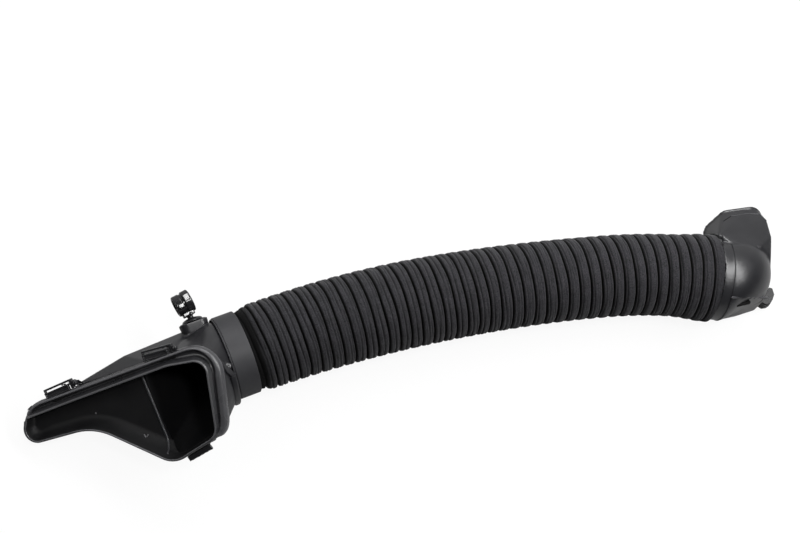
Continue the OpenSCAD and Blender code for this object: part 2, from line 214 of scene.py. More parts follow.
def sleeve_r(s, a):
    """Radius of the sleeve's outside, with its ridges and wrinkles."""
    phase = s / ridge_pitch - a / (2 * np.pi) + 0.022 * drift(s, a, 3)
    f = phase - np.floor(phase)
    # Further along, the second fold moves next to the groove and leaves one thick ridge
    along = ease((s / hose_len - 0.30) / 0.35)
    second = 0.52 - 0.27 * along + 0.030 * drift(s, a, 11)
    third = 0.76 - 0.10 * along + 0.035 * drift(s, a, 13)
    fourth = 0.27 + 0.22 * along + 0.035 * drift(s, a, 14)
    sink = crown_drop * (1 - np.abs(np.sin(np.pi * f)) ** 0.7)
    sink += groove_depth * (1 + 0.12 * drift(s, a, 8)) * dent(f, 0.0, groove_half)
    sink += (fold_depths[0] + 0.35 * drift(s, a, 31)) * dent(f, second, fold_halves[0])
    sink += fold_depths[1] * ease(0.45 + 0.8 * drift(s, a, 33)) * dent(f, third, fold_halves[1])
    sink += fold_depths[2] * ease(0.40 + 0.8 * drift(s, a, 34)) * dent(f, fourth, fold_halves[2])
    drawn_in = ease(s / ridge_pitch / 1.3)
    full = plain_r + (crest_r(s) - plain_r) * drawn_in
    return np.minimum(full - sink * (0.35 + 0.65 * drawn_in), axis_z - floor_clear)


def new_mesh_object(name, points, faces):
    mesh = bpy.data.meshes.new(name)
    mesh.from_pydata([tuple(p) for p in np.asarray(points) * MM], [], faces)
    mesh.update()
    piece = bpy.data.objects.new(name, mesh)
    bpy.context.scene.collection.objects.link(piece)
    return piece


def clean_up(piece, merge=0.02):
    """Joins points that fall together, turns all faces outwards and shades the piece smooth."""
    bm = bmesh.new()
    bm.from_mesh(piece.data)
    bmesh.ops.remove_doubles(bm, verts=bm.verts, dist=merge * MM)
    bmesh.ops.dissolve_degenerate(bm, edges=bm.edges, dist=merge * MM)
    bmesh.ops.recalc_face_normals(bm, faces=bm.faces)
    for face in bm.faces:
        face.smooth = True
    bm.to_mesh(piece.data)
    bm.free()


def make_sleeve():
    pitches = math.ceil(hose_len / ridge_pitch) + 1
    # Rows lie closer together beside the groove
    t = np.arange(ridge_rows) / ridge_rows
    row_place = t - 0.10 * np.sin(2 * np.pi * t) / (2 * np.pi) * 2
    i = np.arange(-ridge_rows, pitches * ridge_rows)
    j = np.arange(sleeve_sides)
    s = ridge_pitch * (np.floor(i / ridge_rows)[:, None] + row_place[i % ridge_rows][:, None]
                       + j[None, :] / sleeve_sides)
    s = np.clip(s, 0.0, hose_len)
    a = np.broadcast_to(2 * np.pi * j / sleeve_sides, s.shape)
    points = on_hose(s, sleeve_r(s, a), a).reshape(-1, 3)
    rows = len(i)
    flat_s = s.reshape(-1)
    faces = []
    for row in range(rows - 1):
        for col in range(sleeve_sides):
            turn = col == sleeve_sides - 1
            up, on = (row + ridge_rows if turn else row), (col + 1) % sleeve_sides
            if up + 1 >= rows:
                continue
            quad = (row * sleeve_sides + col, up * sleeve_sides + on,
                    (up + 1) * sleeve_sides + on, (row + 1) * sleeve_sides + col)
            span = flat_s[list(quad)]
            if span.max() - span.min() > 1e-6 and not (
                    abs(span[0] - span[3]) < 1e-6 and abs(span[1] - span[2]) < 1e-6):
                faces.append(quad)
    # The inside, with the plain end that is pushed into the cuff
    inner_r = hose_crest_r - hose_swell - groove_depth - fabric_wall
    lining = [(hose_len, None), (hose_len, inner_r)]
    lining += [(s_in, inner_r) for s_in in np.linspace(hose_len, ridge_pitch, lining_rings)[1:]]
    lining += [(0.0, plain_r - fabric_wall), (-plain_end_len, plain_r - fabric_wall),
               (-plain_end_len, plain_r), (0.0, None)]
    ring_a = 2 * np.pi * np.arange(sleeve_sides) / sleeve_sides
    first = len(points)
    rings = []
    for s_in, r_in in lining:
        s_ring = np.full(sleeve_sides, s_in)
        r_ring = sleeve_r(s_ring, ring_a) if r_in is None else np.full(sleeve_sides, r_in)
        rings.append(on_hose(s_ring, r_ring, ring_a))
    for k in range(len(rings) - 1):
        for col in range(sleeve_sides):
            on = (col + 1) % sleeve_sides
            b = first + k * sleeve_sides
            faces.append((b + col, b + on, b + sleeve_sides + on, b + sleeve_sides + col))
    piece = new_mesh_object("fabric_sleeve", np.vstack([points] + rings), faces)
    # Depth under the crest, for the painted shade in the folds, and the place on a straight hose,
    # for the threads
    r = sleeve_r(s, a)
    lined = len(lining) * sleeve_sides
    depth = np.concatenate([((crest_r(s) - r) / groove_depth).reshape(-1), np.full(lined, 0.3)])
    straight = np.stack([s, r * np.cos(a), r * np.sin(a)], axis=-1).reshape(-1, 3)
    straight = np.vstack([straight, np.zeros((lined, 3))])
    piece.data.attributes.new("fold_depth", "FLOAT", "POINT").data.foreach_set(
        "value", depth.astype(np.float32))
    piece.data.attributes.new("straight_place", "FLOAT_VECTOR", "POINT").data.foreach_set(
        "vector", straight.astype(np.float32).ravel())
    clean_up(piece)
    return piece


def add_bump(nodes, links, shader, height, distance_mm, strength):
    bump = nodes.new("ShaderNodeBump")
    bump.inputs["Distance"].default_value = distance_mm * MM
    bump.inputs["Strength"].default_value = strength
    links.new(height, bump.inputs["Height"])
    links.new(bump.outputs["Normal"], shader.inputs["Normal"])


def felt_material():
    material, nodes, links, shader = new_material("hose felt")
    grain = add_grain(nodes, 0.8, 9.0)
    # Threads that run round the hose
    straight = nodes.new("ShaderNodeAttribute")
    straight.attribute_name = "straight_place"
    stretch = nodes.new("ShaderNodeVectorMath")
    stretch.operation = "MULTIPLY"
    stretch.inputs[1].default_value = (1.1, 0.09, 0.09)
    threads = nodes.new("ShaderNodeTexNoise")
    threads.inputs["Scale"].default_value = 1.0
    threads.inputs["Detail"].default_value = 3.0
    links.new(straight.outputs["Vector"], stretch.inputs[0])
    links.new(stretch.outputs[0], threads.inputs["Vector"])
    height = nodes.new("ShaderNodeMath")
    height.operation = "MULTIPLY_ADD"
    height.inputs[1].default_value = 1.3
    links.new(threads.outputs["Fac"], height.inputs[0])
    links.new(grain.outputs["Grain"], height.inputs[2])
    fleck = nodes.new("ShaderNodeMath")
    fleck.operation = "MULTIPLY"
    links.new(grain.outputs["Grain"], fleck.inputs[0])
    links.new(spread(nodes, links, grain.outputs["Mottle"], 0.8, 1.2), fleck.inputs[1])
    ramp = mix_colour(nodes, links, fleck.outputs[0], felt_dark, felt_light)
    ramp.color_ramp.elements[0].position = 0.32
    ramp.color_ramp.elements[1].position = 0.70
    # Painted shade: the felt's colour is darkened down in the folds, where shade falls, and its
    # sheen is weaker there too
    depth = nodes.new("ShaderNodeAttribute")
    depth.attribute_name = "fold_depth"
    shade = nodes.new("ShaderNodeMapRange")
    shade.inputs["From Min"].default_value = 0.10
    shade.inputs["From Max"].default_value = 0.80
    shade.inputs["To Min"].default_value = 1.0
    shade.inputs["To Max"].default_value = 0.05
    links.new(depth.outputs["Fac"], shade.inputs["Value"])
    tint = nodes.new("ShaderNodeVectorMath")
    tint.operation = "SCALE"
    links.new(ramp.outputs["Color"], tint.inputs[0])
    links.new(shade.outputs["Result"], tint.inputs["Scale"])
    links.new(tint.outputs[0], shader.inputs["Base Color"])
    shader.inputs["Roughness"].default_value = 0.9
    shader.inputs["Specular IOR Level"].default_value = 0.15
    links.new(spread(nodes, links, shade.outputs["Result"], 0.0, 0.10),
              shader.inputs["Sheen Weight"])
    add_bump(nodes, links, shader, height.outputs[0], 0.35, 0.9)
    return material


sleeve = make_sleeve()
sleeve.data.materials.append(felt_material())
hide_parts("hose_fabric")
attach(sleeve, "root")


# The inlet cuff: a smooth moulded plastic band that holds the fabric's plain end on the scoop's
# neck. It is pushed on from the hose's side, and a thin rolled edge finishes it at the scoop.
cuff_len = 21.0
cuff_r = 41.25
cuff_in_r = 39.25
cuff_edge = 0.8
roll_step = 0.7
roll_past = 1.6
roll_under = 0.6


def turn_matrix(x, y, z):
    """Rotation by degrees about X, then Y, then Z."""
    return (Matrix.Rotation(math.radians(z), 4, "Z") @ Matrix.Rotation(math.radians(y), 4, "Y")
            @ Matrix.Rotation(math.radians(x), 4, "X"))


def turned(bm, place, profile, sides=48, start=0.0, sweep=360.0):
    """Shape turned round the X axis through (x, radius) points, whole or part of the way."""
    whole = sweep == 360.0
    count = sides if whole else sides + 1
    rings = []
    for x, r in profile:
        ring = []
        for k in range(count):
            a = math.radians(start + sweep * k / sides)
            ring.append(bm.verts.new(place @ Vector((x, r * math.cos(a), r * math.sin(a)))))
        rings.append(ring)
    for one, two in zip(rings, rings[1:]):
        for k in range(sides):
            m = (k + 1) % count
            bm.faces.new((one[k], one[m], two[m], two[k]))
    if not whole:
        bm.faces.new([ring[0] for ring in rings])
        bm.faces.new([ring[-1] for ring in reversed(rings)])


def tube_profile(x0, x1, outer, inner, edge, steps=3):
    """Tube along X with rounded rims, as a closed profile."""
    side = [math.pi / 2 * k / steps for k in range(steps + 1)]
    points = []
    for x, r, dx, dr in ((x0, outer, 1, -1), (x1, outer, -1, -1), (x1, inner, -1, 1),
                         (x0, inner, 1, 1)):
        arc = [(x + dx * edge * (1 - math.cos(a)), r + dr * edge * (1 - math.sin(a))) for a in side]
        points += arc if (dx > 0) == (dr < 0) else arc[::-1]
    return points + points[:1]


def as_piece(mesh, name, material, smooth_under=None):
    for polygon in mesh.polygons:
        polygon.use_smooth = True
    if smooth_under:
        mesh.set_sharp_from_angle(angle=math.radians(smooth_under))
    mesh.materials.clear()
    mesh.materials.append(material)
    piece = bpy.data.objects.new(name, mesh)
    bpy.context.scene.collection.objects.link(piece)
    if smooth_under:
        even = piece.modifiers.new("even normals", "WEIGHTED_NORMAL")
        even.keep_sharp = True
    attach(piece, "root")
    return piece


def finished(bm, name, material, smooth_under=35.0):
    """Turns a mesh in millimetres into a piece of the part, with its material."""
    bmesh.ops.scale(bm, vec=(MM, MM, MM), verts=bm.verts)
    bmesh.ops.remove_doubles(bm, verts=bm.verts, dist=0.005 * MM)
    bmesh.ops.recalc_face_normals(bm, faces=bm.faces)
    mesh = bpy.data.meshes.new(name)
    bm.to_mesh(mesh)
    bm.free()
    return as_piece(mesh, name, material, smooth_under)


def edge_highlight_group():
    """Node group with a mask of the convex edges, where a painted highlight makes the colour
    lighter.
    """
    group = bpy.data.node_groups.new("painted edge highlight", "ShaderNodeTree")
    group.interface.new_socket("Edge", in_out="OUTPUT", socket_type="NodeSocketFloat")
    nodes, links = group.nodes, group.links
    shape = nodes.new("ShaderNodeNewGeometry")
    mask = nodes.new("ShaderNodeMapRange")
    mask.interpolation_type = "SMOOTHSTEP"
    mask.inputs["From Min"].default_value = 0.515
    mask.inputs["From Max"].default_value = 0.60
    links.new(shape.outputs["Pointiness"], mask.inputs["Value"])
    out = nodes.new("NodeGroupOutput")
    links.new(mask.outputs["Result"], out.inputs["Edge"])
    return group


painted_edge_highlight = edge_highlight_group()


def plastic_material(name, low, high, rough, grain_mm=0.5, bump=0.06, edge=0.05, shine=0.5):
    material, nodes, links, shader = new_material(name)
    grain = add_grain(nodes, grain_mm, 22.0)
    tone = mix_colour(nodes, links, grain.outputs["Mottle"], low, high)
    tone.color_ramp.elements[0].position = 0.3
    tone.color_ramp.elements[1].position = 0.7
    # Painted highlight: convex edges are made lighter in colour, by the amount edge
    edges = nodes.new("ShaderNodeGroup")
    edges.node_tree = painted_edge_highlight
    lift = nodes.new("ShaderNodeVectorMath")
    lift.operation = "SCALE"
    lift.inputs[0].default_value = (edge, edge, edge * 1.05)
    links.new(edges.outputs["Edge"], lift.inputs["Scale"])
    add = nodes.new("ShaderNodeVectorMath")
    links.new(tone.outputs["Color"], add.inputs[0])
    links.new(lift.outputs[0], add.inputs[1])
    links.new(add.outputs[0], shader.inputs["Base Color"])
    links.new(spread(nodes, links, grain.outputs["Mottle"], rough - 0.05, rough + 0.06),
              shader.inputs["Roughness"])
    shader.inputs["Specular IOR Level"].default_value = shine
    add_bump(nodes, links, shader, grain.outputs["Grain"], bump, 0.5)
    return material


at_inlet = (Matrix.Translation((hose_start[0], hose_start[1], axis_z))
            @ turn_matrix(0, 0, inlet_heading))
bm = bmesh.new()
turned(bm, at_inlet, tube_profile(-cuff_len, 0.0, cuff_r, cuff_in_r, cuff_edge), sides=128)
turned(bm, at_inlet, tube_profile(-cuff_len - roll_past, -cuff_len + roll_under,
                                  cuff_r - roll_step, cuff_in_r, roll_step), sides=128)
cuff_satin = plastic_material("satin cuff", (0.024, 0.024, 0.0265), (0.031, 0.031, 0.034), 0.50,
                              edge=0.0, shine=0.35)
cuff = finished(bm, "cuff_ring", cuff_satin)
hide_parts("inlet_cuff")


# The scoop's rim: the lip round the mouth of the moulded tray, with a channel and an outer bead
# along the upper and right sides, where it seats against the car. Its frame has X along the
# mouth, Y across it and Z out of it; the lip's top lies at z = 0.
mouth_len = 190.0
mouth_gap = 27.0
mouth_side = 15.0
mouth_drop = 23.0
mouth_roll = 26.0
mouth_rise = 23.0
mouth_turn = -23.0
lip_h = 8.0
lip_round = 0.9
wall = 2.6
tray_depth = 4.0
tray_fall = math.radians(5.0)
duct_skirt = 18.0
# Inside fillet from the lip down: in the duct, along the tray's lower side and less at its tip
duct_fillet = 1.8
tray_fillet = 8.6
tip_less = 3.0
at_mouth = (at_inlet @ Matrix.Translation((-mouth_len - mouth_gap, mouth_side, -mouth_drop))
            @ turn_matrix(mouth_roll, -mouth_rise, mouth_turn))
lip_past = 2.0
right_x = mouth_len + lip_past
# Corners (x, y, radius) of the lip and of the flange round it
lip_corners = ((-7, -25, 13), (70, -9.6, 55), (right_x - 47, -48.5, 24), (right_x, -24, 16),
               (right_x - 2, 51, 14), (right_x - 42, 47, 60), (50, 19, 60), (2, 5, 5))
flange_corners = ((-6.4, -24.5, 12.5), (70, -9, 55), (right_x - 47, -47.8, 24),
                  (right_x + 8, -21, 18), (right_x + 9, 68, 26), (3, 13.5, 12))
ridge_top = np.array([right_x - 77, 36.0])
ridge_low = np.array([right_x - 56, -42.0])
rim_samples = 420


def unit(v):
    return v / np.linalg.norm(v, axis=-1, keepdims=True)


def rounded(corners):
    """Outline through corners (x, y, radius), with an arc at each."""
    points = []
    for k in range(len(corners)):
        before, here, after = (np.array(corners[(k + d) % len(corners)][:2], float)
                               for d in (-1, 0, 1))
        r = corners[k][2]
        a, b = unit(before - here), unit(after - here)
        half = math.acos(a @ b) / 2
        hub = here + unit(a + b) * r / math.sin(half)
        start, end = here + a * r / math.tan(half), here + b * r / math.tan(half)
        for t in np.linspace(0, 1, 13):
            points.append(hub + r * unit((1 - t) * (start - hub) + t * (end - hub)))
    return np.array(points)


def evenly(points, count):
    """The same closed outline with evenly spaced points."""
    closed = np.vstack([points, points[:1]])
    at = np.concatenate([[0], np.cumsum(np.linalg.norm(np.diff(closed, axis=0), axis=1))])
    places = np.linspace(0, at[-1], count, endpoint=False)
    return np.stack([np.interp(places, at, closed[:, k]) for k in (0, 1)], axis=-1)


def smoothed(values, reach):
    """Running mean round a closed outline."""
    window = np.ones(2 * reach + 1) / (2 * reach + 1)
    return np.convolve(np.concatenate([values[-reach:], values, values[:reach]]), window, "valid")


def ray_reach(starts, ways, outline):
    """Distance from each start along its way to a closed outline, or 0 where it is missed."""
    a, b = outline, np.roll(outline, -1, axis=0)
    e = b - a
    away = a[None] - starts[:, None]
    cross = ways[:, None, 0] * e[None, :, 1] - ways[:, None, 1] * e[None, :, 0]
    t = (away[..., 0] * e[None, :, 1] - away[..., 1] * e[None, :, 0]) / cross
    u = (away[..., 0] * ways[:, None, 1] - away[..., 1] * ways[:, None, 0]) / cross
    hits = np.where((u >= 0) & (u <= 1) & (t > 0) & (t < 40), t, np.inf).min(axis=1)
    return np.where(np.isfinite(hits), hits, 0.0)


lip_outline = evenly(rounded(lip_corners), rim_samples)
way_on = unit(np.roll(lip_outline, -2, axis=0) - np.roll(lip_outline, 2, axis=0))
way_out = np.stack([way_on[:, 1], -way_on[:, 0]], axis=-1)
lip_inside = lip_outline - wall * way_out
# Width from the lip's inner edge to the outer edge: narrow below, wide above and at the right
rim_w = np.maximum(wall, ray_reach(lip_inside, way_out, rounded(flange_corners)))
x, y = lip_inside[:, 0], lip_inside[:, 1]
above = smoothed((rim_w > 6).astype(float), 6)
at_right = smoothed(((x > 178) & (y < 42) & (y > -24)).astype(float), 9)
rim_w = smoothed(rim_w, 3) + 1.4 * above * (x > 14)
rim_w = smoothed(rim_w, 4)
broad = ease((rim_w - 3.4) / 4.5)


def rim_profile():
    """Offsets from the lip's inner edge and heights of the rim, for every sample."""
    w = rim_w
    crest = 2.2 + 3.0 * at_right
    crest_z = -3.2 + 1.4 * at_right
    channel = -7.8 + 3.2 * at_right
    wide = [(0, -lip_round), (0.15, -0.35), (0.6, -0.05), (1.1, 0), (1.7, -0.25), (2.2, -0.9),
            (3.2, 0.45 * channel), (4.2, 0.78 * channel), (5.0, 0.96 * channel),
            (np.maximum(5.4, w - crest - 3.0), channel),
            (w - crest - 2.2, 0.85 * channel + 0.15 * crest_z),
            (w - crest - 1.5, 0.4 * channel + 0.6 * crest_z), (w - crest - 0.7, crest_z - 0.3),
            (w - crest, crest_z), (w - 0.62 * crest, crest_z - 0.2),
            (w - 0.3 * crest, crest_z - 1.0),
            (w - 0.08 * crest, crest_z - 2.3), (w, crest_z - 3.8), (w, -10.2),
            (w - 0.5, -10.9), (w - 4.0, -10.9)]
    # Where the rim is only the lip's wall: a rounded top, a straight side and a rounded foot
    slim_u = [0, 0.15, 0.5, 0.9, 1.3, 1.7, 2.0, 2.2, 2.35, 2.45, 2.5, 2.52, 2.54, 2.56, 2.57,
              2.58, 2.59, 2.6, 2.6, 2.1, 0.4]
    slim_z = [-lip_round, -0.35, -0.05, 0, -0.12, -0.4, -0.8, -1.3, -1.9, -2.5, -3.1, -3.7, -4.3,
              -4.9, -5.5, -6.1, -6.7, -8, -10.2, -10.9, -10.9]
    rows = []
    for (u, z), su, sz in zip(wide, slim_u, slim_z):
        su = su * w / wall * (w < 4) + np.minimum(su, w) * (w >= 4)
        rows.append((broad * u + (1 - broad) * su, broad * z + (1 - broad) * sz))
    return rows


def tray_floor(points):
    return -lip_h - tray_depth - points[..., 0] * math.tan(tray_fall)


def beyond_ridge(points):
    """Distance past the line where the tray ends."""
    along = unit(ridge_low - ridge_top)
    return (points - ridge_top) @ np.array([-along[1], along[0]])


lower = smoothed(((way_out[:, 1] < 0.25) & (x < 186)).astype(float), 8)
tip = ease((28 - x) / 24)
in_duct = smoothed((beyond_ridge(lip_inside) > 2).astype(float), 5)
fillet = duct_fillet + lower * (tray_fillet - tip_less * tip) * (1 - in_duct)


def fillet_rows(steps=9):
    rows = []
    for k in range(steps, 0, -1):
        t = k / steps
        points = lip_inside - (fillet * t)[:, None] * way_out
        end = tray_floor(points) + 0.08
        end = end * (1 - in_duct) - duct_skirt * in_duct
        drop = math.sqrt(1 - (1 - t) ** 2)
        rows.append((points, -lip_round + (end + lip_round) * drop))
    return rows


def inside(points, outline):
    """Whether each point lies inside a closed outline."""
    a, b = outline, np.roll(outline, -1, axis=0)
    px, py = points[:, 0:1], points[:, 1:2]
    crosses = (a[:, 1] > py) != (b[:, 1] > py)
    at = a[:, 0] + (py - a[:, 1]) * (b[:, 0] - a[:, 0]) / (b[:, 1] - a[:, 1] + 1e-9)
    return ((px < at) & crosses).sum(axis=1) % 2 == 1


# The rim's colour is a little lighter than the body's as painted light, and its convex edges carry
# a strong painted highlight
satin_rim = plastic_material("satin rim", (0.016, 0.016, 0.0175), (0.023, 0.023, 0.025), 0.28,
                             edge=0.26)
tray_painted_shade = plastic_material("tray painted shade", (0.0055, 0.0055, 0.006), (0.0075, 0.0075, 0.008), 0.55,
                              edge=0.03, shine=0.2)


def mouth_band():
    rings = [np.column_stack([points, z]) for points, z in fillet_rows()]
    for u, z in rim_profile():
        rings.append(np.column_stack([lip_inside + u[:, None] * way_out, z]))
    points = np.vstack(rings)
    frame_m = np.array(at_mouth)
    world = points @ frame_m[:3, :3].T + frame_m[:3, 3]
    faces = []
    for row in range(len(rings) - 1):
        for k in range(rim_samples):
            m = (k + 1) % rim_samples
            a, b = row * rim_samples, (row + 1) * rim_samples
            faces.append((a + k, a + m, b + m, b + k))
    piece = new_mesh_object("scoop_rim", world, faces)
    clean_up(piece)
    mesh = piece.data
    bpy.data.objects.remove(piece)
    rim = as_piece(mesh, "scoop_rim", satin_rim)
    mesh.materials.append(tray_painted_shade)
    # Faces below the lip inside the mouth take the tray's darker colour as painted shade
    back = at_mouth.inverted()
    for polygon in mesh.polygons:
        spot = back @ (polygon.center / MM)
        if spot.z < -2.5 and inside(np.array(spot)[None, :2], lip_inside)[0]:
            polygon.material_index = 1
    return rim


mouth_band()


# The scoop's body: tray, duct and neck moulded as one skin under the rim. The tray's floor and the
# inside of the duct are duller than the outside, as the tool left them, and their colour is
# darkened as painted shade.
satin = plastic_material("satin charcoal", (0.011, 0.011, 0.0125), (0.016, 0.016, 0.018), 0.30)
duct_painted_shade = plastic_material("duct painted shade", (0.0045, 0.0045, 0.005), (0.006, 0.006, 0.0065), 0.7,
                              edge=0.0, shine=0.1)
skin_voxel = 1.15
under_rim = -lip_h - 1.9
# The rim's long straight side, from its near corner, and how far it turns from the mouth's x
long_far, long_near = flange_corners[4][:2], flange_corners[5][:2]
rim_slant = math.atan2(long_far[1] - long_near[1], long_far[0] - long_near[0])
# Where the solid's plain snap loops lie beside that side: along it, out from it and down to
loop_zones = ((15, 65), (123, 173))
loop_out = (0.6, 14)
loop_low = -10.2


def melted(bm, voxel, passes):
    """Joins overlapping solids, in metres, into one skin with rounded corners."""
    mesh = bpy.data.meshes.new("melt")
    bm.to_mesh(mesh)
    bm.free()
    helper = bpy.data.objects.new("melt", mesh)
    bpy.context.scene.collection.objects.link(helper)
    remesh = helper.modifiers.new("join", "REMESH")
    remesh.mode = "VOXEL"
    remesh.voxel_size = voxel * MM
    soften = helper.modifiers.new("soften", "SMOOTH")
    soften.iterations = passes
    soften.factor = 0.5
    bpy.context.view_layer.update()
    result = bpy.data.meshes.new_from_object(
        helper.evaluated_get(bpy.context.evaluated_depsgraph_get()))
    bpy.data.objects.remove(helper)
    bpy.data.meshes.remove(mesh)
    return result


def scoop_shell():
    """The tray, the duct and the neck as one moulded skin, without the rim made above."""
    bm = bmesh.new()
    bm.from_mesh(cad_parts["intake_scoop"].data)
    mesh = melted(bm, skin_voxel, 5)
    # Open the top, where the rim lies
    count = len(mesh.vertices)
    spots = np.empty(count * 3, np.float32)
    mesh.vertices.foreach_get("co", spots)
    back = np.array(at_mouth.inverted())
    local = spots.reshape(-1, 3) / MM @ back[:3, :3].T + back[:3, 3]
    outer = lip_inside + (rim_w + 0.2)[:, None] * way_out
    cut = (local[:, 2] > under_rim) & inside(local[:, :2], outer)
    # The solid's plain snap loops go too, as finer ones are made below
    c, s = math.cos(rim_slant), math.sin(rim_slant)
    x_off, y_off = local[:, 0] - long_near[0], local[:, 1] - long_near[1]
    along, out = x_off * c + y_off * s, y_off * c - x_off * s
    beside = (out > loop_out[0]) & (out < loop_out[1]) & (local[:, 2] > loop_low)
    for start, end in loop_zones:
        cut |= (along > start) & (along < end) & beside
    bm = bmesh.new()
    bm.from_mesh(mesh)
    bm.verts.ensure_lookup_table()
    bmesh.ops.delete(bm, geom=[bm.verts[int(k)] for k in np.flatnonzero(cut)], context="VERTS")
    bm.to_mesh(mesh)
    bm.free()
    shell = as_piece(mesh, "scoop_shell", satin)
    # The tray's floor gets a darker colour as painted shade, and deep inside the duct the skin is
    # dull and darker still, also as painted shade
    mesh.materials.append(duct_painted_shade)
    mesh.materials.append(tray_painted_shade)
    back_turn = at_mouth.to_3x3().inverted()
    well = lip_inside + 4.0 * way_out
    for polygon in mesh.polygons:
        spot = at_mouth.inverted() @ (polygon.center / MM)
        way = back_turn @ polygon.normal
        inwards = way.x * (150 - spot.x) + way.y * (3 - spot.y) > 0 or way.z > 0.6
        if inwards and spot.z > -90 and inside(np.array(spot)[None, :2], well)[0]:
            past = beyond_ridge(np.array(spot)[:2])
            if past > 1.0:
                polygon.material_index = 1
            elif spot.z > -lip_h - tray_depth - 1.2 - spot.x * math.tan(tray_fall):
                polygon.material_index = 2
    return shell


scoop = scoop_shell()
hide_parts("intake_scoop")


# The duct's back wall under the rim at the wide end: the same thin plastic as the body, satin
# outside and dull towards the duct, where its lining is darkened as painted shade. Its stations lie
# along the rim's long side: place along it, then how far out the wall stands at its top and at its
# foot.
back_wall = ((138, -1.2, 3.4), (146, -6.9, -1.8), (158, -7.2, -1.8), (168, -8.9, -2.6),
             (178, -11.6, -5.0))
back_wall_top = -10.6
back_wall_foot = -29.5
satin_plain = plastic_material("satin plain", (0.0105, 0.0105, 0.012), (0.015, 0.015, 0.017), 0.32,
                               edge=0.0)
at_long_side = (at_mouth @ Matrix.Translation((*long_near, 0))
                @ turn_matrix(0, 0, math.degrees(rim_slant)))


def hull(bm, points):
    """Convex solid round a set of points."""
    made = [bm.verts.new(p) for p in points]
    result = bmesh.ops.convex_hull(bm, input=made)
    spare = [g for g in result["geom_interior"] + result["geom_unused"]
             if isinstance(g, bmesh.types.BMVert)]
    bmesh.ops.delete(bm, geom=list(set(spare)), context="VERTS")


for name, face, back, material in (("scoop_back_wall", 0.1, 0.9, satin_plain),
                                   ("scoop_back_lining", 0.9, 1.7, duct_painted_shade)):
    bm = bmesh.new()
    for near, far in zip(back_wall, back_wall[1:]):
        hull(bm, [at_long_side @ Vector((a, out - d, z)) for a, high, low in (near, far)
                  for out, z in ((high, back_wall_top), (low, back_wall_foot))
                  for d in (face, back)])
    finished(bm, name, material)


# The stiffening band on the flared neck, and the web with its pip that runs from it to the rim's
# corner. Both are moulded with the scoop and keep the neck round beside the cuff.
band_ends = (-28.4, -22.2)
band_r = 45.4
web_ridge = ((-32.9, -6.8, 48.8), (-29.2, -22.0, 41.8), (-26.9, -16.6, 42.4),
             (-21.9, -25.5, 36.4), (-22.6, -30.0, 31.5))
pip = (-33.6, -14.8, 47.4)
pip_r = 2.2


def ball(place, centre, r, rows=7, sides=14):
    """Points of a ball, for a hull."""
    points = []
    for k in range(rows + 1):
        b = math.pi * k / rows
        for j in range(sides):
            a = 2 * math.pi * j / sides
            points.append(place @ (Vector(centre) + r * Vector((
                math.cos(a) * math.sin(b), math.sin(a) * math.sin(b), math.cos(b)))))
    return points


bm = bmesh.new()
turned(bm, at_inlet, tube_profile(*band_ends, band_r, 37.0, 1.8), sides=30, start=126, sweep=62)
finished(bm, "neck_band", satin_plain)
bm = bmesh.new()
hull(bm, [at_inlet @ Vector((x, y * depth, z * depth)) for x, y, z in web_ridge
          for depth in (1.0, 0.985, 0.86)])
hull(bm, ball(at_inlet, pip, pip_r))
finished(bm, "neck_web", satin_plain)


# The tray's bead: a thin moulded ridge along the edge where the tray falls away into the duct. It
# is coloured lighter than the floor all round, as a painted highlight.
bead_r = 1.25
bead_flat = 0.3
bead_sides = 12
# Lighter than the satin, as a painted highlight on beads and ledges
satin_highlight = plastic_material("satin painted highlight", (0.028, 0.028, 0.031), (0.038, 0.038, 0.042), 0.30,
                              edge=0.0)


def tray_height(spot):
    """Height of the tray's floor, with its fillet along the lip."""
    away = np.linalg.norm(lip_inside - spot, axis=1)
    near = away.argmin()
    depth = min(1.0, away[near] / fillet[near])
    return -lip_round + (float(tray_floor(spot)) + lip_round) * math.sqrt(1 - (1 - depth) ** 2)


bm = bmesh.new()
rings = []
for t in np.linspace(0.0, 1.0, 40):
    spot = ridge_top + (ridge_low - ridge_top) * (t * 1.03 - 0.01)
    z = tray_height(spot)
    ring = []
    for k in range(bead_sides):
        a = 2 * math.pi * k / bead_sides
        ring.append(bm.verts.new(at_mouth @ Vector((
            spot[0] + bead_r * math.cos(a), spot[1] + bead_flat * bead_r * math.cos(a),
            z + bead_r * math.sin(a)))))
    rings.append(ring)
for one, two in zip(rings, rings[1:]):
    for k in range(bead_sides):
        m = (k + 1) % bead_sides
        bm.faces.new((one[k], one[m], two[m], two[k]))
finished(bm, "tray_bead", satin_highlight, None)


# The two snap loops on the rim's long side, moulded with it. Each is a slotted bar over a small
# window box in a lighter grey as painted light, with a round stop at its right end and, under it, a
# near-black plate as the painted shadow of a catch recess.
loop_len = 31.0
loop_down = 6.0
bar = 1.5
# Near-black plastic, put where recesses and grooves lie in shade, as painted shadow
shadow_black = plastic_material("painted shadow black", (0.0015, 0.0015, 0.0017), (0.003, 0.003, 0.003),
                                0.8, edge=0.0, shine=0.2)
# Lighter grey than the loop's own plastic, as painted light on the window box
window_lit_grey = plastic_material("window painted light grey", (0.020, 0.020, 0.022), (0.030, 0.030, 0.032), 0.30,
                               edge=0.0)


def block(bm, place, centre, size, edge, turn=0.0):
    """Box with rounded edges."""
    made = bmesh.ops.create_cube(bm, size=1.0)["verts"]
    local = (Matrix.Translation(centre) @ Matrix.Rotation(math.radians(turn), 4, "Z")
             @ Matrix.Diagonal((*size, 1)))
    bmesh.ops.transform(bm, matrix=place @ local, verts=made)
    edges = list({e for v in made for e in v.link_edges})
    bmesh.ops.bevel(bm, geom=edges, offset=edge, segments=3, profile=0.5, affect="EDGES")


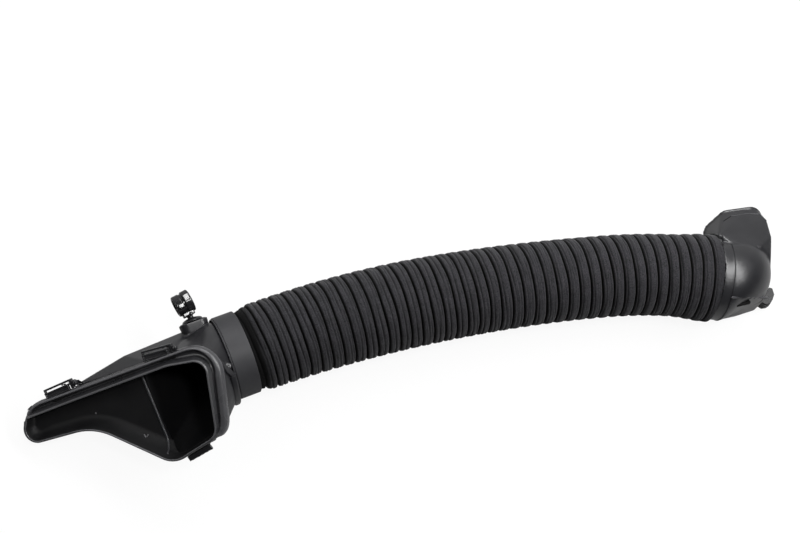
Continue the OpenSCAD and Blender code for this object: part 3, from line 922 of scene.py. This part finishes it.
def rod_profile(x0, x1, r, edge, steps=4):
    """Solid rod along X with rounded ends."""
    side = [math.pi / 2 * k / steps for k in range(steps + 1)]
    left = [(x0 + edge * (1 - math.sin(a)), r - edge * (1 - math.cos(a))) for a in reversed(side)]
    right = [(x1 - edge * (1 - math.sin(a)), r - edge * (1 - math.cos(a))) for a in side]
    return [(x0, 0.01)] + left + right[::-1] + [(x1, 0.01)]


def snap_loop(name, start, out, tilt):
    at_loop = (at_long_side @ Matrix.Translation((start, out, -loop_down))
               @ turn_matrix(0, 0, tilt))
    middle = loop_len / 2
    bm = bmesh.new()
    for centre, size, edge in (
            ((middle, 9.1, 0), (loop_len, 1.9, 3.6), 0.5),              # outer bar
            ((bar / 2, 6.6, 0), (bar, 6.0, 3.6), 0.5),                  # its left end
            ((loop_len - 1.6, 5.4, 0), (3.4, 9.0, 4.2), 0.6),           # its right end
            ((middle - 1, 5.7, 0.2), (loop_len - 1, 1.7, 3.8), 0.5),    # middle bar
            ((middle - 3, 1.1, 0.6), (loop_len - 5, 1.3, 3.6), 0.45),   # inner bar
            ((loop_len - 6.0, 3.2, 0.6), (1.5, 4.8, 3.8), 0.45),        # window's right side
            ((0.4, 3.2, 0.3), (1.4, 4.6, 3.4), 0.45)):                  # window's left side
        block(bm, at_loop, centre, size, edge)
    turned(bm, at_loop @ Matrix.Translation((loop_len + 1.4, 5.2, -1.5)) @ turn_matrix(0, -90, 0),
           rod_profile(0, 4.6, 2.9, 1.0), sides=28)
    finished(bm, name, satin_plain)
    bm = bmesh.new()
    block(bm, at_loop, (middle - 3, 3.2, -0.6), (loop_len - 7, 3.6, 2.0), 0.3)
    finished(bm, name + "_window", window_lit_grey)
    bm = bmesh.new()
    block(bm, at_loop, (middle + 1.6, -2.2, -1.6), (loop_len - 4, 4.6, 0.8), 0.3)
    finished(bm, name + "_recess_shadow", shadow_black)


snap_loop("snap_loop_left", 23.5, -0.6, 3.0)
snap_loop("snap_loop_right", 129.5, 1.6, -4.5)


# The gate marks: pale stubs that the mould's gate and pin left on the tray's floor, an angled one
# by the duct and a small round one further left.
gate_white = plastic_material("gate white", (0.09, 0.09, 0.095), (0.14, 0.14, 0.145), 0.35,
                              edge=0.0)
gate_angle = ((112.0, -22.2), (113.4, -25.4), (115.4, -22.6))
gate_w = 1.1
pin_mark = (66.3, 1.1)
pin_mark_r = 0.9
bm = bmesh.new()
for start, end in zip(gate_angle, gate_angle[1:]):
    run = Vector(end) - Vector(start)
    spot = (Vector(start) + Vector(end)) / 2
    floor_z = tray_height(np.array(spot)) + 0.4
    block(bm, at_mouth, (*spot, floor_z), (run.length + 0.6, gate_w, 1.0), 0.3,
          math.degrees(math.atan2(run.y, run.x)))
turned(bm, at_mouth @ Matrix.Translation((*pin_mark, float(tray_floor(np.array(pin_mark)))))
       @ turn_matrix(0, -90, 0), rod_profile(-0.5, 0.5, pin_mark_r, 0.4), sides=16)
finished(bm, "gate_marks", gate_white)


# The line clip: a glossy snap clip of two bands on a stem, moulded in one, with a spring umbrella
# that grips the oval boss on the scoop's neck. Its frame has X along the line it holds.
line_r = 7.5
band_outer = (10.4, 11.0)
band_past = 8.5
band_split = 0.7
pad_back = 38.0
pad_turn = -78.0
pad_out = 45.0
clip_lean = -8.0
clip_up = 19.0
at_pad = (at_inlet @ Matrix.Translation((-pad_back, 0, 0)) @ turn_matrix(pad_turn, 0, 0)
          @ Matrix.Translation((0, 0, pad_out)))
at_clip = at_pad @ turn_matrix(0, clip_lean, 0) @ Matrix.Translation((0, 0, clip_up))
gloss = plastic_material("gloss black", (0.007, 0.007, 0.008), (0.012, 0.012, 0.013), 0.20,
                         bump=0.02, edge=0.0)
bm = bmesh.new()
turned(bm, at_clip, tube_profile(-band_past, -band_split, band_outer[0], line_r, 1.3), sides=56)
turned(bm, at_clip, tube_profile(band_split, band_past, band_outer[1], line_r, 1.3), sides=56)
turned(bm, at_clip, tube_profile(-1.2, 1.2, 9.6, line_r, 0.3), sides=56)
# Latch blocks on the bands, and the block that joins them to the stem
block(bm, at_clip, (4.2, -10.2, 3.8), (6.2, 3.4, 7.2), 0.9)
block(bm, at_clip, (-3.6, -9.4, -1.5), (6.0, 3.0, 5.0), 0.9)
block(bm, at_clip, (0, 0, -11.0), (12.0, 9.0, 5.0), 1.2)
turned(bm, at_clip @ Matrix.Translation((0, 0, -12.0)) @ turn_matrix(0, 90, 0),
       rod_profile(0, 7.5, 3.2, 0.8), sides=32)
turned(bm, at_clip @ Matrix.Translation((1.5, -5.4, -12.3)), rod_profile(-2.0, 2.0, 2.0, 1.9),
       sides=24)
# Umbrella foot: a thin cone with its rim turned down
turned(bm, at_pad @ turn_matrix(0, -90, 0),
       [(0.4, 9.6), (0.0, 9.9), (0.2, 10.2), (1.6, 9.4), (2.6, 7.4), (3.4, 4.0), (3.6, 3.0)],
       sides=40)
clip = finished(bm, "clip_body", gloss)
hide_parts("line_clip")


# The rounded rim of the oval boss that the clip is pushed into, moulded with the scoop's neck. It
# steps in twice towards its top.
boss_reach = 6.0
boss_steps = ((7.4, -9.5), (7.8, -3.4), (8.1, -2.9), (8.1, -1.3), (7.5, -0.7))
bm = bmesh.new()
hull(bm, [at_pad @ Vector((x + r * math.cos(2 * math.pi * k / 40),
                           r * math.sin(2 * math.pi * k / 40), z))
          for x in (-boss_reach, boss_reach) for r, z in boss_steps for k in range(40)])
finished(bm, "boss_rim", satin_plain)


# The elbow: a moulded bend that carries the hose's end on its collar and turns the air back and
# down to a flanged outlet. It is one hollow skin of the scoop's plastic, with a box behind the
# bend. Its frame has X along the hose's end.
x, y, heading = hose_centre(np.array(hose_len))
at_outlet = Matrix.Translation((float(x), float(y), axis_z)) @ Matrix.Rotation(
    float(heading), 4, "Z")
outlet_reach = 45.0
outlet_side = 27.7
outlet_drop = 43.2
outlet_tilt = 45.0
outlet_turn = 15.3
at_rim = (at_outlet @ Matrix.Translation((outlet_reach, outlet_side, -outlet_drop))
          @ turn_matrix(outlet_tilt, 0, outlet_turn))
collar_len = 14.0
collar_r = 42.0
fabric_end_r = 45.2
rim_corners = ((-37, 0, 16), (22, 0, 16), (23, 75, 16), (-22, 75, 12), (-43, 57, 12))
# The bend behind the collar: where it ends, how far its end lies to the back and below the
# axis, and how full its outline is
bend_from, bend_to = 12.0, 65.6
bend_back, bend_drop = 10.0, 9.0
bend_fullness = 2.2
# The ledge on the bend's front, from the collar to the right
ledge_line = ((12.5, -27.5, 31.0), (24.0, -24.5, 27.5), (35.0, -21.5, 22.5), (48.2, -17.6, 13.0),
              (57.0, -15.0, 5.0), (63.5, -12.5, -1.0))
# Back shoulder and right edge of the roof, from the left: place and rounding
shoulder = ((-0.3, 37.5, 27.6), (-0.3, 42.4, 20.5), (-0.5, 46.8, 13.0), (3.2, 50.6, 18.0),
            (9.0, 57.6, 17.0), (17.2, 64.5, 14.5), (34.9, 70.2, 12.0), (49.1, 72.4, 10.8),
            (55.0, 65.0, 13.6))
shoulder_r = 1.4
roof_edge = ((57.0, 45.2, 20.0, 1.6), (57.2, 26.0, 17.0, 2.0), (59.0, 12.0, 8.0, 3.0),
             (14.0, 29.0, 28.5, 2.0), (30.0, 30.0, 28.0, 2.0), (44.0, 31.0, 26.0, 2.5),
             (46.0, 10.0, 0.0, 6.0), (56.0, 12.0, -8.0, 6.0))
# Front wall down to the floor: place and rounding
front_wall = ((24, -28, -27, 5), (27, -26, -35, 4), (42, -21, -37, 4), (60, -13, -37, 4),
              (66, 2, -36, 4), (34, -24, -14, 4), (58, -12, -10, 4))
bend_sides = 96
# Beside the fabric's end: where the box begins, and which of the skin's points stand open
hose_end = 0.9
box_back = 28
box_low = -25
open_r = 41.6


def inset(corners, d):
    """The same corners moved in by d."""
    moved = []
    for k in range(len(corners)):
        before, here, after = (np.array(corners[(k + step) % len(corners)][:2], float)
                               for step in (-1, 0, 1))
        came, goes = unit(here - before), unit(after - here)
        a, b = np.array([-came[1], came[0]]), np.array([-goes[1], goes[0]])
        spot = here + d * (a + b) / (1 + a @ b)
        moved.append((spot[0], spot[1], max(0.6, corners[k][2] - d)))
    return tuple(moved)


def rim_points(d, z):
    return [at_rim @ Vector((px, py, z)) for px, py in rounded(inset(rim_corners, d))]


def bend(bm):
    """The bend as rings that swing to the back and shrink; under the ledge its front is flatter."""
    line = np.array(ledge_line)
    rings = []
    for t in 1 - (1 - np.linspace(0, 1, 44)) ** 1.6:
        t = min(t, 0.9995)
        x = bend_from + (bend_to - bend_from) * t
        r = collar_r * (1 - t ** bend_fullness) ** (1 / bend_fullness)
        cy, cz = bend_back * math.sin(math.pi / 2 * t) ** 1.3, -bend_drop * t ** 3
        top_y, top_z = (np.interp(x, line[:, 0], line[:, k]) for k in (1, 2))
        flat = 0.75 * ease((x - 11) / 28)
        ring = []
        for k in range(bend_sides):
            a = 2 * math.pi * k / bend_sides
            y, z = cy + r * math.cos(a), cz + r * math.sin(a)
            if y < cy and z < top_z:
                wall_y = top_y - 0.16 * (top_z - z) + 1.2
                y += flat * max(0.0, wall_y - y)
            ring.append(bm.verts.new(at_outlet @ Vector((x, y, z))))
        rings.append(ring)
    for one, two in zip(rings, rings[1:]):
        for k in range(bend_sides):
            m = (k + 1) % bend_sides
            bm.faces.new((one[k], one[m], two[m], two[k]))
    bm.faces.new(rings[0])
    bm.faces.new(rings[-1][::-1])


def elbow_shell():
    bm = bmesh.new()
    turned(bm, at_outlet, rod_profile(0.3, collar_len, collar_r, 0.3), sides=bend_sides)
    bend(bm)
    # Flange round the outlet, and the box behind it with its sloping roof
    hull(bm, rim_points(0.0, 0.0) + rim_points(0.0, 3.0))
    box = [(*spot, shoulder_r) for spot in shoulder] + list(roof_edge)
    hull(bm, rim_points(1.0, 0.5) + [p for *spot, r in box for p in ball(at_outlet, spot, r)])
    hull(bm, [p for *spot, r in front_wall for p in ball(at_outlet, spot, r)])
    bmesh.ops.scale(bm, vec=(MM, MM, MM), verts=bm.verts)
    mesh = melted(bm, skin_voxel, 6)
    bm = bmesh.new()
    bm.from_mesh(mesh)
    # Open the outlet and the collar's end, then give the skin its wall
    bmesh.ops.bisect_plane(bm, geom=bm.verts[:] + bm.edges[:] + bm.faces[:],
                           plane_co=(at_rim @ Vector((0, 0, 0.15))) * MM,
                           plane_no=at_rim.to_3x3() @ Vector((0, 0, -1)), clear_outer=True)
    back = at_outlet.inverted()
    near_hose = []
    for vertex in bm.verts:
        spot = back @ (vertex.co / MM)
        r = math.hypot(spot.y, spot.z)
        if (spot.x < hose_end and spot.y > box_back and spot.z > box_low
                and 41 < r < fabric_end_r):
            # The box hugs the fabric's end
            out = fabric_end_r / r
            vertex.co = (at_outlet @ Vector((spot.x, spot.y * out, spot.z * out))) * MM
        elif spot.x < hose_end and r < open_r:
            near_hose.append(vertex)
    bmesh.ops.delete(bm, geom=near_hose, context="VERTS")
    bm.to_mesh(mesh)
    bm.free()
    piece = as_piece(mesh, "elbow_shell", satin_plain)
    wall_of = piece.modifiers.new("wall", "SOLIDIFY")
    wall_of.thickness = wall * MM
    wall_of.offset = -1
    return piece


elbow = elbow_shell()
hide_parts("outlet_elbow")


# The ledge along the bend's front: a rounded edge moulded with it that stands a little proud, where
# the dome ends and the flatter front wall begins. It is coloured lighter than the wall, as a
# painted highlight.
ledge_r = 1.25
bm = bmesh.new()
for one, two in zip(ledge_line, ledge_line[1:]):
    hull(bm, [p for x, y, z in (one, two)
              for p in ball(at_outlet, (x, y - 0.8, z + 0.6), ledge_r)])
finished(bm, "elbow_ledge", satin_highlight, 60.0)


# The thin bead along the shoulder of the box, coloured lighter as a painted highlight, and a thin
# near-black rod that goes on from it down to the fabric's end, as the painted shade of a groove.
# Both are part of the moulding.
bead_part, groove_part = shoulder[5:], shoulder[2:6]
bm = bmesh.new()
for one, two in zip(bead_part, bead_part[1:]):
    hull(bm, [p for x, y, z in (one, two) for p in ball(at_outlet, (x, y + 0.5, z + 1.0), 0.7)])
finished(bm, "elbow_bead", satin_highlight, 60.0)
bm = bmesh.new()
for one, two in zip(groove_part, groove_part[1:]):
    hull(bm, [p for x, y, z in (one, two)
              for p in ball(at_outlet, (x - 0.3, y + 0.4, z + 0.9), 0.6)])
finished(bm, "elbow_groove_shadow", shadow_black, 60.0)


# The pocket: a near-black capsule on the front wall under the ledge, as painted shade for a hollow
# where the mould thins the wall. Its two ends lie on the wall's surface.
pocket_ends = ((23.0, -30.6, 17.5), (36.5, -24.9, 13.0))
pocket_r = 2.3
bm = bmesh.new()
hull(bm, [p for spot in pocket_ends for p in ball(at_outlet, spot, pocket_r)])
finished(bm, "elbow_pocket_shadow", shadow_black, 60.0)


# The elbow's duller parts, moulded with it, with a darker colour as painted shade: the socket
# inside the hose's end, the crease where the collar ends, the lip that closes the corner between
# the fabric's end and the box, the two-step ear at the shelf's corner, and the flat shelf in front
# of the outlet's rim.
satin_shaded = plastic_material("satin dull painted shade", (0.006, 0.006, 0.007), (0.010, 0.010, 0.0115), 0.45,
                              edge=0.0, shine=0.3)
socket_len = 24.0
socket_r, socket_in_r = 36.9, 34.4
ear = ((76.5, 7.2), (79.3, 6.6), (81.4, -0.1), (79.6, -6.3), (76.6, -11.2), (71.4, -12.6),
       (66.4, -10))
# Foot, top and step in of each of the ear's steps, and the rounding of their edges
ear_steps = ((-41.6, -32.0, 0.0), (-33.0, -25.5, 1.4))
ear_round = 0.8
shelf = ((-43, -47.5, 14), (17, -39, 12), (22, 0.4, 1), (-31, 0.4, 1))
shelf_h = 3.4
shelf_round = 0.6
shelf_up = 0.8
bm = bmesh.new()
turned(bm, at_outlet, tube_profile(-socket_len, 1.5, socket_r, socket_in_r, 0.6), sides=96)
turned(bm, at_outlet, tube_profile(11.4, 12.6, 42.4, 41.0, 0.3), sides=96)
turned(bm, at_outlet, tube_profile(-0.8, 3.8, 46.8, 38.0, 0.9), sides=16, start=10, sweep=32)
turned(bm, at_outlet, tube_profile(0.4, 3.4, 42.6, 38.0, 0.9), sides=16, start=38, sweep=14)
for low, high, shrink in ear_steps:
    hull(bm, [at_outlet @ Vector((x - shrink, y, z)) for x, y in ear
              for z in (low + ear_round, high - ear_round)]
         + [at_outlet @ Vector((x * 0.985 + 1.1 - shrink, y * 0.94, z)) for x, y in ear
            for z in (low, high)])
at_shelf = (at_outlet @ Matrix.Translation((outlet_reach, outlet_side, shelf_up - outlet_drop))
            @ turn_matrix(0, 0, outlet_turn))
hull(bm, [at_shelf @ Vector((px, py, pz))
          for d, zs in ((0.0, (shelf_round, shelf_h - shelf_round)), (shelf_round, (0.0, shelf_h)))
          for px, py in rounded(inset(shelf, d)) for pz in zs])
finished(bm, "elbow_trim", satin_shaded)


# The studio: a white floor, a white surround that is dark only high above the front, and four
# soft lamps. The camera sees the floor near white, while the piece gets only a little light off it.
floor_gap = 0.0002
floor_share = 0.80    # how much of what the camera sees of the floor is plain white
floor_white_strength = 1.15


def stage_plane(name, size, place):
    bpy.ops.mesh.primitive_plane_add(size=size, location=place)
    plane = bpy.context.object
    plane.name = name
    return plane


floor = stage_plane("floor", 12.0, (0, 0, -floor_gap))
floor_white, nodes, links, shader = new_material("floor white")
shader.inputs["Base Color"].default_value = (0.35, 0.35, 0.35, 1)
shader.inputs["Roughness"].default_value = 0.9
shader.inputs["Specular IOR Level"].default_value = 0.0
glow = nodes.new("ShaderNodeEmission")
blend_shader = nodes.new("ShaderNodeMixShader")
rays = nodes.new("ShaderNodeLightPath")
share = nodes.new("ShaderNodeMath")
share.operation = "MULTIPLY"
share.inputs[1].default_value = floor_share
links.new(rays.outputs["Is Camera Ray"], share.inputs[0])
links.new(share.outputs[0], blend_shader.inputs["Fac"])
links.new(shader.outputs[0], blend_shader.inputs[1])
links.new(glow.outputs[0], blend_shader.inputs[2])
links.new(blend_shader.outputs[0], nodes["Material Output"].inputs["Surface"])
glow.inputs["Strength"].default_value = floor_white_strength
floor.data.materials.append(floor_white)

world = bpy.data.worlds.new("studio")
bpy.context.scene.world = world
world.use_nodes = True
nodes, links = world.node_tree.nodes, world.node_tree.links
surround = nodes["Background"]
coords = nodes.new("ShaderNodeTexCoord")
lean = nodes.new("ShaderNodeVectorMath")
lean.operation = "DOT_PRODUCT"
lean.inputs[1].default_value = (0.1, 0.85, -0.5)
links.new(coords.outputs["Generated"], lean.inputs[0])
ramp = nodes.new("ShaderNodeValToRGB")
ramp.color_ramp.elements[0].position = 0.35
ramp.color_ramp.elements[0].color = (0.05, 0.05, 0.052, 1)
ramp.color_ramp.elements[1].position = 0.85
ramp.color_ramp.elements[1].color = (1, 1, 1, 1)
shift_up = nodes.new("ShaderNodeMapRange")
shift_up.inputs["From Min"].default_value = -1
shift_up.inputs["From Max"].default_value = 1
links.new(lean.outputs["Value"], shift_up.inputs["Value"])
links.new(shift_up.outputs["Result"], ramp.inputs["Fac"])
seen = nodes.new("ShaderNodeLightPath")
white = nodes.new("ShaderNodeBackground")
white.inputs["Color"].default_value = (1, 1, 1, 1)
links.new(ramp.outputs["Color"], surround.inputs["Color"])
surround.inputs["Strength"].default_value = 0.75
choose = nodes.new("ShaderNodeMixShader")
links.new(seen.outputs["Is Camera Ray"], choose.inputs["Fac"])
links.new(surround.outputs[0], choose.inputs[1])
links.new(white.outputs[0], choose.inputs[2])
links.new(choose.outputs[0], nodes["World Output"].inputs["Surface"])


def soft_lamp(name, place, aim, size, power, long_size=None):
    data = bpy.data.lights.new(name, "AREA")
    data.shape = "ELLIPSE" if long_size else "DISK"
    data.size = size
    data.size_y = long_size or size
    data.energy = power
    lamp = bpy.data.objects.new(name, data)
    bpy.context.scene.collection.objects.link(lamp)
    lamp.location = place
    lamp.rotation_euler = (Vector(aim) - Vector(place)).to_track_quat("-Z", "Y").to_euler()
    return lamp


soft_lamp("lamp_back", (0.3, 1.6, 1.6), (0, 0, 0), 1.2, 22)
soft_lamp("lamp_left", (-1.6, 0.4, 1.8), (0, 0, 0), 1.0, 9)
soft_lamp("lamp_right", (0.85, 0.12, 1.35), (0.35, 0, 0), 1.9, 28, 0.32)
soft_lamp("lamp_top", (0.1, -0.16, 2.1), (-0.2, 0, 0), 0.3, 12)

# The camera: above the hose and in front of it, at the photograph's distance. It looks down at the
# floor, a little to the right and to the back.
camera_data = bpy.data.cameras.new("camera")
camera_data.sensor_fit = "HORIZONTAL"
camera_data.sensor_width = 36.0
camera_data.lens = 67.5
camera = bpy.data.objects.new("camera", camera_data)
bpy.context.scene.collection.objects.link(camera)
camera_place = (-308.2, -325.2, 1450.7)
right = Vector((0.9697, -0.1904, 0.1529)).normalized()
look = Vector((0.2015, 0.2697, -0.9416)).normalized()
up = right.cross(look)
up.normalize()
right = look.cross(up).normalized()
place = Matrix((right, up, -look)).transposed().to_4x4()
place.translation = Vector(camera_place) * MM
camera.matrix_world = place
bpy.context.scene.camera = camera

bpy.context.scene.view_settings.view_transform = "Standard"
